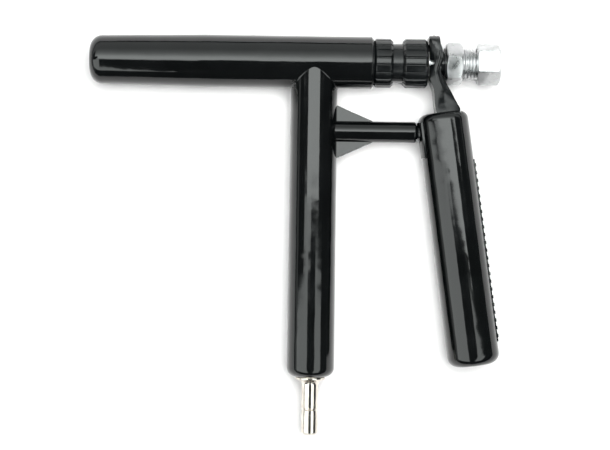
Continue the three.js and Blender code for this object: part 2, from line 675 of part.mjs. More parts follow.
// A thin strip of plain cross ribs, shaped to sit on the finger side of the grip.
function gripRibs() {
  const { first, count, pitch, width, halfDepth, proud } = GRIP_RIBS;
  const last = first + count * pitch;
  const front = (along) => -gripRadius(along);
  const base = 0.3;
  const backing = plate(polygon([
    [front(first) + 1, first - 2], [front(first) - base, first - 2],
    [front(last) - base, last], [front(last) + 1, last],
  ]), 2 * halfDepth + 0.6);
  const ribs = Array.from({ length: count }, (_, i) => {
    const along = first + i * pitch;
    const x = front(along);
    return box([x - base - proud, along, -halfDepth], [x, along + width, halfDepth]);
  });
  return cut(join(backing, ...ribs), gripOutside());
}

place(gun, 'lever_yoke', leverCore(), SATIN_BLACK);
place(gun, 'grip_sleeve', gripSleeve(), GLOSS_BLACK);
place(gun, 'fulcrum_shoe', fulcrumShoe(), SATIN_BLACK);
place(gun, 'shoe_screw', shoeScrewBar(SHOE_SCREW.radius, 0), STEEL);
place(gripAxis, 'grip_rib_strip', gripRibs(), SATIN_BLACK);

// ---------------------------------------------------------------- place on the table

const part = new THREE.Group();
part.add(gun);
part.updateMatrixWorld(true);
const bounds = new THREE.Box3().setFromObject(part, true);
const centre = bounds.getCenter(new THREE.Vector3());
gun.position.set(-centre.x, -centre.y, -bounds.min.z);

export default part;
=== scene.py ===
"""Meat injector lying on a pale table, seen from above. Dimensions are in millimetres from the barrel's
axis and the handle's axis, and light and camera distances are in metres."""

import json
import math

import bmesh
import bpy
from mathutils import Matrix, Vector


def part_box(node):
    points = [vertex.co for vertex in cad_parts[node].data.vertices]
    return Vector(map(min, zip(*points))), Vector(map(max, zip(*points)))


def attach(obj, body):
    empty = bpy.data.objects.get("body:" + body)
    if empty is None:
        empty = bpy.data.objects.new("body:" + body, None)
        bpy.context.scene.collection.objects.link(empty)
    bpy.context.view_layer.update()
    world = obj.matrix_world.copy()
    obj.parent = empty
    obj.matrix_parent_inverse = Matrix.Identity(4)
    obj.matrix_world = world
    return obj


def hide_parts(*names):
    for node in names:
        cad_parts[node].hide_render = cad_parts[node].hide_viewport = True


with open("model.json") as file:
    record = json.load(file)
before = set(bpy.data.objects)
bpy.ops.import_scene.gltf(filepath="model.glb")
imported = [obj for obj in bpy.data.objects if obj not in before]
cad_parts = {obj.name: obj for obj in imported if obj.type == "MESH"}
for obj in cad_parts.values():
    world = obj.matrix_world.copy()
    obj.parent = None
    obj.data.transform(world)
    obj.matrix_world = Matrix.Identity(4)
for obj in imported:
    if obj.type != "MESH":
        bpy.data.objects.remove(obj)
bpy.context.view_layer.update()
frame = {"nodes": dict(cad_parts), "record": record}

# ------------------------------------------------------------------ driving dimensions, in millimetres

MM = 0.001
FINE = 128
BORE_SEGMENTS = 64
SHANK_SEGMENTS = 48

BARREL = {"rear": -112, "front": 28.8, "rear_radius": 12.05, "radius": 13, "full_from": -55, "corner": 6}
BARREL_TAPER_FILLET = 60
BARREL_BORE = {"rear": -105, "rear_radius": 8.6, "rear_chamfer": 3, "step": -44.9, "radius": 9.4,
               "mouth": 20.6, "mouth_radius": 10.2}
HANDLE = {"end": 157, "top_radius": 11.6, "end_radius": 11.85, "corner": 4.5, "depth": 1.08}
HANDLE_BORE = {"start": 24, "port_radius": 3.4, "radius": 6.1}
POST = {"y": -34.4, "end": 51.1, "radius": 5.25, "chamfer": 0.9}
GUSSET = {"thickness": 2, "root": 10.5, "tip": 30, "rise": 13.5, "drop": 14, "tip_depth": 5}
FULCRUM = {"x": 54.6, "radius": 4.7, "shank_start": 40, "shank_radius": 2.2, "hole_start": 39.7,
           "hole_radius": 2.35}
POCKET_GAP = 0.3
SHOE_POCKET_GAP = 0.15
RING = {"radius": 12.2, "groove_radius": 11.65, "ribs": 20, "chamfer": 1.2, "bore": 10.05}
RIB_GROOVE = {"half_share": 0.13, "deepening": 1.15, "inner_margin": 0.8, "steps_per_rib": 24}
LOCK_RING = {"start": 29.5, "end": 39}
DOSE_COLLAR = {"start": 44, "end": 56.3, "lip": 54.6, "lip_radius": 7}
NOSE = {"start": 22.6, "end": 48.6, "radius": 9.75, "bore": 5.15, "bore_start": 26.4, "bore_end": 33.7,
        "rear_bore": 7, "front_bore": 6.6, "mouth_gap": 0.2}
ROD = {"rear": -99, "rear_radius": 3, "thread_start": -22, "thread_radius": 4.2, "shoulder": -19.7,
       "radius": 5, "front": 70, "bore": 2.4, "bore_end": -17, "bore_tip": -18}
ROD_HOLE = 5.1
LOCK_WASHER = {"start": 28.95, "end": 29.35, "hole": 10.05, "radius": 11.9}
STOP_RING = {"start": 56.6, "end": 57.8, "radius": 6.1}
THRUST_WASHER = {"start": 63, "step": 64.55, "end": 65.1, "hub_radius": 5.8, "radius": 7.9}
HEX = {"start": 65.4, "end": 73.9, "across_flats": 18.6, "turn": -15, "front_cone": 1.6, "rear_cone": 1.1,
       "rod_hole": 5.2, "rod_hole_end": 70.3}
STEM = {"end": 87.5, "radius": 7.75, "bore": 4.1, "pitch": 1.5, "depth": 0.62, "sunk": 0.8, "neck": 0.9,
        "front_chamfer": 0.8, "rows_per_turn": 10}
NUT = {"start": 81.2, "end": 92.5, "across_flats": 18.2, "turn": 23.4, "hole": 4.2, "shoulder": 90.7,
       "front_cone": 1.4, "rear_cone": 0.5, "thread_gap": 0.3}
TAIL = {"shank": 145.2, "shank_radius": 5.8, "flare": 157.3, "flare_radius": 7.4, "radius": 4.15,
        "end": 186, "bore": 2.6, "groove": 173.3}
GRIP = {"x": 64.1, "y": -24.4, "tilt": 8.1, "length": 127, "top_radius": 12.6, "end_radius": 12.95}
SLEEVE = {"wall": 1.4, "top_cap": 1.7, "end_cap": 3, "top_corner": 4, "end_corner": 5}
NECK_HOLE = {"low": (59.7, -33, -7.8), "high": (73.4, -18, 7.8)}
CORE = {"start": 2, "end": 121, "radius": 10.9, "top_corner": 3, "end_corner": 2}
SHOE = {"proud": 0.7, "depth": 3, "start": 3.6, "end": 21.4, "half_width": 6.4}
GRIP_RIBS = {"first": 27, "count": 23, "pitch": 3.9, "width": 1.9, "half_depth": 2.2, "proud": 0.5,
             "base": 0.3}
YOKE = {"half_width": 10.8, "slot_half_width": 6.6, "slot_top": 9.6, "slot_bottom": -7,
        "neck_half_width": 7.4, "groove_height": 10, "groove_radius": 0.55}
YOKE_SPAN = (50, 80)

# Light and camera, in metres from the middle of the view. A panel's figures are its x range, its y range,
# its radiance and its turn in degrees.
COOL = (0.95, 1.0, 0.98)
WORLD_COLOUR = (0.92, 0.97, 1.0, 1)
WORLD_STRENGTH = 0.08
CEILING = 1.3
NEAR_GLOW = 5.0
FAR_GLOW = 0.85
GLOW_START = 0.03
GLOW_EDGE = 0.3
GLOW_BAND = 0.13
GLOW_FADE = 0.33
GLOW_BANDS = 8
GLOW_REACH = 14
SIDE_PANELS = [
    ("far_left", (-14, -5), (-6, 3), 0.6, 0),
    ("left_edge", (-1.2, -0.17), (-0.04, 0.05), 3, 0),
    ("left", (-5.0, -0.46), (-2.0, 0.0), 2.7, 3.4),
    ("right", (0.46, 1.6), (-2.0, 0.0), 2.6, -3.4),
]
KEY = 8.4
KEY_RANGE = (-0.42, 0.81)
KEY_LIFT = 0.1
TABLE_SIZE = 6
CAMERA_DISTANCE = 0.85
PICTURE_WIDTH = 0.305
SENSOR_WIDTH = 36
VIEW_CENTRE = (-3.64, -81.4)
ROLL = 0.8

# ------------------------------------------------------------------ where things are


def middle(node):
    low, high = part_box(node)
    return (low + high) / 2


GUN = Vector((middle("hose_tail").x, middle("cylinder_liner").y, middle("cylinder_liner").z))


def axis_frame(x, y, direction):
    """A frame at a point of the gun's plane, in millimetres, whose local Z runs along direction."""
    along = Vector((direction[0], direction[1], 0)).normalized()
    up = Vector((0, 0, 1))
    side = along.cross(up)
    turn = Matrix((side, up, along)).transposed().to_4x4()
    return Matrix.Translation(GUN + Vector((x, y, 0)) * MM) @ turn @ Matrix.Scale(MM, 4)


TILT = math.radians(GRIP["tilt"])
GUN_FRAME = Matrix.Translation(GUN) @ Matrix.Scale(MM, 4)
BARREL_AXIS = axis_frame(0, 0, (1, 0))
HANDLE_AXIS = axis_frame(0, 0, (0, -1))
POST_AXIS = axis_frame(0, POST["y"], (1, 0))
GRIP_AXIS = axis_frame(GRIP["x"], GRIP["y"], (math.sin(TILT), -math.cos(TILT)))

# ------------------------------------------------------------------ mesh helpers


def new_object(name, verts, faces, place):
    """A mesh object built in local millimetres and moved into the row frame, with its faces outward."""
    mesh = bpy.data.meshes.new(name)
    mesh.from_pydata([tuple(v) for v in verts], [], faces)
    mesh.transform(place)
    body = bmesh.new()
    body.from_mesh(mesh)
    bmesh.ops.remove_doubles(body, verts=body.verts, dist=1e-7)
    bmesh.ops.recalc_face_normals(body, faces=body.faces)
    body.to_mesh(mesh)
    body.free()
    obj = bpy.data.objects.new(name, mesh)
    bpy.context.scene.collection.objects.link(obj)
    return obj


def lathe(name, profile, place, segments=FINE, radius_at=None):
    """Turns (along, radius) points about the local Z axis. A profile ends on the axis or on its start."""
    verts = []
    faces = []
    closed = tuple(profile[0]) == tuple(profile[-1])
    rows = profile[:-1] if closed else profile
    for along, radius in rows:
        for i in range(segments):
            angle = 2 * math.pi * i / segments
            r = radius_at(along, radius, angle) if radius_at else radius
            verts.append((r * math.cos(angle), r * math.sin(angle), along))
    count = len(rows)
    for row in range(count if closed else count - 1):
        a = row * segments
        b = ((row + 1) % count) * segments
        for i in range(segments):
            j = (i + 1) % segments
            faces.append((a + i, a + j, b + j, b + i))
    return new_object(name, verts, faces, place)


def filleted(points, steps=6):
    """Rounds the corners of a profile given as (along, radius) or (along, radius, fillet)."""
    out = []
    last = len(points) - 1
    for i, point in enumerate(points):
        here = Vector(point[:2])
        fillet = point[2] if len(point) > 2 else 0
        if fillet == 0 or i in (0, last):
            out.append(tuple(here))
            continue
        before = (Vector(points[i - 1][:2]) - here).normalized()
        after = (Vector(points[i + 1][:2]) - here).normalized()
        half = before.angle(after) / 2
        reach = fillet / math.tan(half)
        centre = here + (before + after).normalized() * (fillet / math.sin(half))
        start = here + before * reach - centre
        end = here + after * reach - centre
        sweep = start.angle_signed(end)
        for k in range(steps + 1):
            angle = -sweep * k / steps
            turned = Matrix.Rotation(angle, 2) @ start
            out.append(tuple(centre + turned))
    return out


def prism(name, outline, low, high, place):
    """A straight prism of an outline drawn in local XY, from low to high along local Z."""
    count = len(outline)
    verts = [(x, y, low) for x, y in outline] + [(x, y, high) for x, y in outline]
    faces = [tuple(range(count))[::-1], tuple(range(count, 2 * count))]
    for i in range(count):
        j = (i + 1) % count
        faces.append((i, j, count + j, count + i))
    return new_object(name, verts, faces, place)


def block(name, low, high, place):
    (x0, y0, z0), (x1, y1, z1) = low, high
    return prism(name, [(x0, y0), (x1, y0), (x1, y1), (x0, y1)], z0, z1, place)


def ball(name, centre, radius, place, segments=64, rings=32):
    profile = []
    for i in range(rings + 1):
        angle = math.pi * i / rings
        profile.append((-radius * math.cos(angle), radius * math.sin(angle)))
    return lathe(name, profile, place @ Matrix.Translation(centre), segments)


def fulcrum_pocket(clearance):
    return ball("pocket", (0, 0, FULCRUM["x"]), FULCRUM["radius"] + clearance, POST_AXIS)


def baked(obj):
    """Applies the object's modifiers."""
    graph = bpy.context.evaluated_depsgraph_get()
    mesh = bpy.data.meshes.new_from_object(obj.evaluated_get(graph))
    obj.modifiers.clear()
    old = obj.data
    obj.data = mesh
    mesh.name = obj.name
    bpy.data.meshes.remove(old)
    return obj


def combine(target, tool, operation):
    """Joins, cuts or intersects target with tool, which is then removed."""
    step = target.modifiers.new("combine", "BOOLEAN")
    step.operation = operation
    step.solver = "EXACT"
    step.object = tool
    baked(target)
    bpy.data.objects.remove(tool)
    return target


def bevelled(obj, width, segments=3, angle=30):
    step = obj.modifiers.new("edges", "BEVEL")
    step.width = width * MM
    step.segments = segments
    step.limit_method = "ANGLE"
    step.angle_limit = math.radians(angle)
    step.harden_normals = False
    return baked(obj)


def weigh_normals(obj):
    """Lets a corner's shading follow its largest faces, so that a long wall stays straight by a fillet."""
    weigh = obj.modifiers.new("weigh", "WEIGHTED_NORMAL")
    weigh.mode = "FACE_AREA"
    weigh.weight = 50
    weigh.keep_sharp = True
    with bpy.context.temp_override(object=obj, active_object=obj, selected_objects=[obj]):
        bpy.ops.object.modifier_apply(modifier=weigh.name)


def finished(obj, body, slot, replaced=(), sharp=22, long_walls=False):
    """Smooths the shading up to an angle, gives the material, hangs the piece on its body and hides the CAD
    nodes it replaces.
    """
    for face in obj.data.polygons:
        face.use_smooth = True
    obj.data.set_sharp_from_angle(angle=math.radians(sharp))
    obj.data.materials.clear()
    obj.data.materials.append(MATERIALS[slot])
    if long_walls:
        weigh_normals(obj)
    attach(obj, body)
    if replaced:
        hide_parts(*replaced)
    return obj


def curve_points(start, control, end, steps=10):
    """Points of a quadratic curve, without its start."""
    points = []
    for i in range(1, steps + 1):
        t = i / steps
        a, b, c = (1 - t) ** 2, 2 * t * (1 - t), t * t
        points.append(tuple(a * start[k] + b * control[k] + c * end[k] for k in range(2)))
    return points


def outline_from(path, steps=10):
    """An outline from (x, y) corners and (control x, control y, x, y) curves."""
    points = [path[0]]
    for item in path[1:]:
        if len(item) == 2:
            points.append(item)
        else:
            points.extend(curve_points(points[-1], item[:2], item[2:], steps))
    if (Vector(points[0]) - Vector(points[-1])).length < 1e-6:
        points.pop()
    return points


# ------------------------------------------------------------------ materials


def node(tree, kind, **inputs):
    made = tree.nodes.new(kind)
    for name, value in inputs.items():
        made.inputs[name.replace("_", " ")].default_value = value
    return made


def noise(tree, coordinates, scale, detail=4.0, roughness=0.55):
    made = node(tree, "ShaderNodeTexNoise", Scale=scale, Detail=detail, Roughness=roughness)
    tree.links.new(coordinates, made.inputs["Vector"])
    return made.outputs["Fac"]


def remap(tree, value, low, high, start=0.35, stop=0.65):
    made = node(tree, "ShaderNodeMapRange", From_Min=start, From_Max=stop, To_Min=low, To_Max=high)
    tree.links.new(value, made.inputs["Value"])
    return made.outputs["Result"]


def stretched(tree, coordinates, scale):
    made = node(tree, "ShaderNodeMapping", Scale=scale)
    tree.links.new(coordinates, made.inputs["Vector"])
    return made.outputs["Vector"]


def bump(tree, height, strength, distance, previous=None):
    made = node(tree, "ShaderNodeBump", Strength=strength, Distance=distance)
    tree.links.new(height, made.inputs["Height"])
    if previous is not None:
        tree.links.new(previous, made.inputs["Normal"])
    return made.outputs["Normal"]


def two_colours(tree, value, dark, light):
    made = tree.nodes.new("ShaderNodeMix")
    made.data_type = "RGBA"
    made.inputs["A"].default_value = (*dark, 1)
    made.inputs["B"].default_value = (*light, 1)
    tree.links.new(value, made.inputs["Factor"])
    return made.outputs["Result"]


def start_material(name, metallic=0.0, ior=1.5, coat=0.0, coat_roughness=0.05):
    material = bpy.data.materials.new(name)
    material.use_nodes = True
    tree = material.node_tree
    shader = tree.nodes["Principled BSDF"]
    shader.inputs["Metallic"].default_value = metallic
    shader.inputs["IOR"].default_value = ior
    shader.inputs["Coat Weight"].default_value = coat
    shader.inputs["Coat Roughness"].default_value = coat_roughness
    coordinates = tree.nodes.new("ShaderNodeTexCoord").outputs["Object"]
    return material, tree, shader, coordinates


def gloss_plastic():
    """Polished black moulding: faint sink waves, dust specks and rubbed patches."""
    material, tree, shader, where = start_material("gloss_black", ior=1.5)
    patches = noise(tree, where, 45, 3)
    specks = noise(tree, where, 1400, 2)
    dark, light = (0.0012, 0.0016, 0.0017), (0.0026, 0.0032, 0.0034)
    shade = two_colours(tree, remap(tree, patches, 0, 1), dark, light)
    tree.links.new(shade, shader.inputs["Base Color"])
    rough = node(tree, "ShaderNodeMath")
    rough.operation = "ADD"
    tree.links.new(remap(tree, patches, 0.06, 0.10), rough.inputs[0])
    tree.links.new(remap(tree, specks, 0, 0.16, 0.66, 0.78), rough.inputs[1])
    tree.links.new(rough.outputs[0], shader.inputs["Roughness"])
    waves = bump(tree, noise(tree, where, 70, 1.5), 0.35, 0.0006)
    grain = bump(tree, noise(tree, where, 900, 2), 0.05, 0.0001, waves)
    tree.links.new(grain, shader.inputs["Normal"])
    return material


def satin_plastic():
    """Satin black moulding with a fine grain."""
    material, tree, shader, where = start_material("satin_black", ior=1.48)
    patches = noise(tree, where, 120, 4)
    shade = two_colours(tree, remap(tree, patches, 0, 1), (0.002, 0.0026, 0.0028), (0.004, 0.005, 0.0054))
    tree.links.new(shade, shader.inputs["Base Color"])
    tree.links.new(remap(tree, patches, 0.14, 0.24), shader.inputs["Roughness"])
    grain = bump(tree, noise(tree, where, 2600, 2), 0.18, 0.00012)
    tree.links.new(grain, shader.inputs["Normal"])
    return material


def plated(name, dark, light, rough, pits, turned_along=None):
    """Bright plated metal with small pits, stains and, if turned, fine tool rings along an axis."""
    material, tree, shader, where = start_material(name, metallic=1.0)
    stains = noise(tree, where, 220, 5)
    fine = noise(tree, where, 1500, 3)
    shade = two_colours(tree, remap(tree, stains, 0, 1), dark, light)
    tree.links.new(shade, shader.inputs["Base Color"])
    tree.links.new(remap(tree, stains, rough[0], rough[1]), shader.inputs["Roughness"])
    normal = bump(tree, fine, pits, 0.00015)
    if turned_along is not None:
        scale = [60.0, 60.0, 60.0]
        scale[turned_along] = 4200.0
        rings = noise(tree, stretched(tree, where, scale), 1.0, 2)
        normal = bump(tree, rings, 0.12, 0.0001, normal)
    tree.links.new(normal, shader.inputs["Normal"])
    return material


def rubber():
    material, tree, shader, where = start_material("rubber", ior=1.5)
    grain = noise(tree, where, 900, 4)
    shade = two_colours(tree, grain, (0.012, 0.012, 0.012), (0.03, 0.03, 0.03))
    tree.links.new(shade, shader.inputs["Base Color"])
    tree.links.new(remap(tree, grain, 0.7, 0.9), shader.inputs["Roughness"])
    tree.links.new(bump(tree, grain, 0.3, 0.0002), shader.inputs["Normal"])
    return material


def acetal():
    material, tree, shader, where = start_material("acetal", ior=1.48)
    grain = noise(tree, where, 600, 4)
    shade = two_colours(tree, grain, (0.72, 0.70, 0.64), (0.84, 0.82, 0.76))
    tree.links.new(shade, shader.inputs["Base Color"])
    tree.links.new(remap(tree, grain, 0.4, 0.55), shader.inputs["Roughness"])
    tree.links.new(bump(tree, grain, 0.1, 0.0001), shader.inputs["Normal"])
    return material


MATERIALS = {
    "gloss_black": gloss_plastic(),
    "satin_black": satin_plastic(),
    "chrome": plated("chrome", (0.46, 0.47, 0.47), (0.60, 0.60, 0.61), (0.24, 0.36), 0.25),
    "nickel": plated("nickel", (0.60, 0.55, 0.49), (0.74, 0.69, 0.62), (0.08, 0.16), 0.06, turned_along=1),
    "steel": plated("steel", (0.48, 0.49, 0.50), (0.60, 0.61, 0.62), (0.25, 0.38), 0.15),
    "brass": plated("brass", (0.58, 0.44, 0.20), (0.72, 0.57, 0.30), (0.25, 0.40), 0.12),
    "rubber": rubber(),
    "acetal": acetal(),
}

# ------------------------------------------------------------------ moulded body


def handle_fillet(radius=0.9, steps=120, arc_steps=6, sink=0.04, root=0.5):
    """A ring that fills the inside corner where the handle meets the barrel with a concave round."""
    width = HANDLE["top_radius"]
    depth = width * HANDLE["depth"]
    verts = []
    faces = []
    for i in range(steps):
        angle = 2 * math.pi * i / steps
        x, z = width * math.cos(angle), depth * math.sin(angle)
        y = -math.sqrt(BARREL["radius"] ** 2 - z ** 2)
        corner = Vector((x, y, z))
        off_barrel = Vector((0, y, z)).normalized()
        off_handle = Vector((x / width ** 2, 0, z / depth ** 2)).normalized()
        both = off_barrel + off_handle
        centre = corner + both * radius / (1 + off_barrel.dot(off_handle))
        spread = off_barrel.angle(off_handle)
        verts.append(corner - both * root)
        for k in range(arc_steps + 1):
            share = k / arc_steps
            toward = off_barrel * math.sin((1 - share) * spread) + off_handle * math.sin(share * spread)
            toward = toward.normalized()
            reach = radius + sink if k in (0, arc_steps) else radius
            verts.append(centre - toward * reach)
    count = arc_steps + 2
    for i in range(steps):
        a = i * count
        b = ((i + 1) % steps) * count
        for k in range(count):
            j = (k + 1) % count
            faces.append((a + k, a + j, b + j, b + k))
    return new_object("handle_fillet", verts, faces, GUN_FRAME)


def body_shell():
    b = BARREL
    barrel = lathe("body_shell", filleted([
        (b["rear"], 0), (b["rear"], b["rear_radius"], b["corner"]),
        (b["full_from"], b["radius"], BARREL_TAPER_FILLET),
        (b["front"], b["radius"], 0.5), (b["front"], 0),
    ], 8), BARREL_AXIS)
    h = HANDLE
    handle = lathe("handle", filleted([
        (0, 0), (0, h["top_radius"]), (h["end"], h["end_radius"], h["corner"]), (h["end"], 0),
    ], 8), HANDLE_AXIS @ Matrix.Diagonal((1, h["depth"], 1, 1)))
    post = lathe("post", filleted([
        (0, 0), (0, POST["radius"]), (POST["end"], POST["radius"], POST["chamfer"]), (POST["end"], 0),
    ]), POST_AXIS, 96)
    g = GUSSET
    y = POST["y"]
    gussets = prism("gussets", [
        (g["root"], y + g["rise"]), (g["root"], y - g["drop"]), (g["tip"], y - g["tip_depth"]),
        (g["tip"] + 3, y), (g["tip"], y + g["tip_depth"]),
    ], -g["thickness"] / 2, g["thickness"] / 2, GUN_FRAME)
    for piece in (handle, post, gussets, handle_fillet()):
        combine(barrel, piece, "UNION")
    o = BARREL_BORE
    barrel_bore = lathe("bore", [
        (o["rear"], 0), (o["rear"], o["rear_radius"] - o["rear_chamfer"]),
        (o["rear"] + o["rear_chamfer"], o["rear_radius"]),
        (o["step"], o["rear_radius"]), (o["step"], o["radius"]), (o["mouth"], o["radius"]),
        (o["mouth"], o["mouth_radius"]), (b["front"] + 1, o["mouth_radius"]), (b["front"] + 1, 0),
    ], BARREL_AXIS, BORE_SEGMENTS)
    o = HANDLE_BORE
    handle_bore = lathe("bore", [
        (0, 0), (0, o["port_radius"]), (o["start"], o["port_radius"]),
        (o["start"], o["radius"]), (h["end"] + 1, o["radius"]), (h["end"] + 1, 0),
    ], HANDLE_AXIS, BORE_SEGMENTS)
    f = FULCRUM
    pin_bore = lathe("bore", [
        (f["hole_start"], 0), (f["hole_start"], f["hole_radius"]), (POST["end"] + 1, f["hole_radius"]),
        (POST["end"] + 1, 0),
    ], POST_AXIS, SHANK_SEGMENTS)
    for piece in (barrel_bore, handle_bore, pin_bore, fulcrum_pocket(POCKET_GAP)):
        combine(barrel, piece, "DIFFERENCE")
    return finished(barrel, "body", "gloss_black", ["gun_body"], 18, long_walls=True)


body_shell()

# ------------------------------------------------------------------ turned fixed parts


def gland_nose():
    n = NOSE
    thread = BARREL_BORE["mouth_radius"] - n["mouth_gap"]
    profile = filleted([
        (n["start"], n["rear_bore"]), (n["start"], thread), (BARREL["front"], thread),
        (BARREL["front"], n["radius"]), (n["end"], n["radius"], 0.7), (n["end"], n["front_bore"]),
        (n["bore_end"], n["front_bore"]), (n["bore_end"], n["bore"]), (n["bore_start"], n["bore"]),
        (n["bore_start"], n["rear_bore"]), (n["start"], n["rear_bore"]),
    ])
    return finished(lathe("gland_nose", profile, BARREL_AXIS), "body", "satin_black", ["front_gland"])


def fulcrum_ball():
    f = FULCRUM
    made = ball("fulcrum_ball", (0, 0, f["x"]), f["radius"], POST_AXIS)
    shank = lathe("shank", filleted([
        (f["shank_start"], 0), (f["shank_start"], f["shank_radius"], 0.4), (f["x"], f["shank_radius"]),
        (f["x"], 0),
    ]), POST_AXIS, SHANK_SEGMENTS)
    combine(made, shank, "UNION")
    return finished(made, "body", "satin_black", ["fulcrum_pin"])


def tail():
    t = TAIL
    profile = filleted([
        (t["shank"], t["bore"]), (t["shank"], t["shank_radius"], 0.3), (t["flare"], t["shank_radius"]),
        (t["flare"], t["flare_radius"], 0.25), (t["flare"] + 0.9, t["flare_radius"], 0.3),
        (t["flare"] + 2.3, t["radius"] + 0.5, 0.5), (t["flare"] + 3.4, t["radius"], 0.5),
        (t["groove"] - 0.55, t["radius"], 0.12), (t["groove"] - 0.2, t["radius"] - 0.4, 0.1),
        (t["groove"] + 0.2, t["radius"] - 0.4, 0.1), (t["groove"] + 0.55, t["radius"], 0.12),
        (t["end"] - 0.9, t["radius"], 0.8), (t["end"], t["radius"] - 1.0, 0.2), (t["end"], t["bore"]),
        (t["shank"], t["bore"]),
    ], 5)
    return finished(lathe("tail", profile, HANDLE_AXIS), "body", "nickel", ["hose_tail"])


gland_nose()
fulcrum_ball()
tail()

# ------------------------------------------------------------------ ribbed rings


def rib_radius(along, radius, angle):
    """Cuts evenly spaced round-bottomed grooves between wide ribs into the outer surface."""
    g = RIB_GROOVE
    if radius < RING["groove_radius"] - g["inner_margin"]:
        return radius
    share = (angle / (2 * math.pi) * RING["ribs"]) % 1
    depth = max(0, 1 - (abs(share - 0.5) / g["half_share"]) ** 2) ** 0.5
    return radius - depth * (RING["radius"] - RING["groove_radius"]) * g["deepening"]


def ribbed_ring(name, start, end, bore_profile):
    c = RING["chamfer"]
    outside = filleted([
        (start, RING["radius"] - c), (start + c, RING["radius"], 0.6),
        (end - c, RING["radius"], 0.6), (end, RING["radius"] - c),
    ])
    profile = outside + bore_profile + [outside[0]]
    return lathe(name, profile, BARREL_AXIS, RING["ribs"] * RIB_GROOVE["steps_per_rib"], rib_radius)


def rings():
    r = RING
    lock = ribbed_ring("lock_ring_ribbed", LOCK_RING["start"], LOCK_RING["end"], [
        (LOCK_RING["end"], r["bore"]), (LOCK_RING["start"], r["bore"]),
    ])
    finished(lock, "lock_ring", "satin_black", ["lock_ring"])
    d = DOSE_COLLAR
    dose = ribbed_ring("dose_collar_ribbed", d["start"], d["end"], [
        (d["end"], d["lip_radius"]), (d["lip"], d["lip_radius"]), (d["lip"], r["bore"]),
        (d["start"], r["bore"]),
    ])
    finished(dose, "dose_collar", "satin_black", ["dose_collar"])


rings()

# ------------------------------------------------------------------ rod, washers and stop


def turned_piece(name, points, body, slot, replaced, segments=96):
    return finished(lathe(name, filleted(points), BARREL_AXIS, segments), body, slot, replaced)


def flat_ring(name, size, hole, fillet, body, slot, replaced):
    """A plain ring with its two outer corners rounded."""
    start, end, radius = size["start"], size["end"], size["radius"]
    turned_piece(name, [
        (start, hole), (start, radius, fillet), (end, radius, fillet), (end, hole), (start, hole),
    ], body, slot, replaced)


def rod():
    r = ROD
    turned_piece("rod_front", [
        (r["rear"], 0), (r["rear"], r["rear_radius"], 0.5), (r["thread_start"], r["rear_radius"]),
        (r["thread_start"], r["thread_radius"]), (r["shoulder"], r["thread_radius"]),
        (r["shoulder"], r["radius"]), (r["front"], r["radius"], 0.3), (r["front"], r["bore"]),
        (r["bore_end"], r["bore"]), (r["bore_tip"], 0),
    ], "rod", "chrome", ["piston_rod"])


def thrust_washer():
    t = THRUST_WASHER
    turned_piece("thrust_ring", [
        (t["start"], ROD_HOLE), (t["start"], t["hub_radius"], 0.3), (t["step"], t["hub_radius"]),
        (t["step"], t["radius"], 0.2), (t["end"], t["radius"], 0.2), (t["end"], ROD_HOLE),
        (t["start"], ROD_HOLE),
    ], "rod", "satin_black", ["thrust_washer"])


rod()
flat_ring("washer_ring", LOCK_WASHER, LOCK_WASHER["hole"], 0.12, "lock_washer", "satin_black",
          ["lock_washer"])
flat_ring("stop_ring_round", STOP_RING, ROD_HOLE, 0.3, "rod", "steel", ["stop_ring"])
thrust_washer()

# ------------------------------------------------------------------ needle fitting and union nut


def hexagon(across_flats, turn):
    """Corners of a hexagon in local XY, turned from the frame's local X axis."""
    corner = across_flats / math.sqrt(3)
    points = []
    for i in range(6):
        angle = math.radians(turn + 60 * i)
        points.append((corner * math.cos(angle), corner * math.sin(angle)))
    return points


def hex_body(name, size, bore):
    """A hexagon with the corners turned off at both ends, bored through, with softened edges."""
    start, end, across_flats = size["start"], size["end"], size["across_flats"]
    front_cone, rear_cone = size["front_cone"], size["rear_cone"]
    corner = across_flats / math.sqrt(3)
    flat = across_flats / 2
    solid = prism(name, hexagon(across_flats, 90 - size["turn"]), start, end, BARREL_AXIS)
    cone = lathe("cone", filleted([
        (start, 0), (start, corner - 2 * rear_cone), (start + rear_cone, corner + 0.3),
        (end - front_cone, corner + 0.3), (end, flat - 0.5), (end, 0),
    ]), BARREL_AXIS)
    combine(solid, cone, "INTERSECT")
    combine(solid, lathe("bore", bore, BARREL_AXIS, BORE_SEGMENTS), "DIFFERENCE")
    return bevelled(solid, 0.18, 3, 20)


def thread_radius(start, end, pitch, depth, run_in=0.6):
    """A helical V thread, as the radius lost at a place along the stem and an angle."""
    def radius_at(along, radius, angle):
        if along < start or along > end or radius < STEM["radius"] - 0.01:
            return radius
        phase = (along / pitch - angle / (2 * math.pi)) % 1
        valley = 1 - abs(2 * phase - 1)
        fade = min(1, (along - start) / run_in, (end - along) / run_in)
        return radius - depth * min(1, valley * 1.25) * fade
    return radius_at


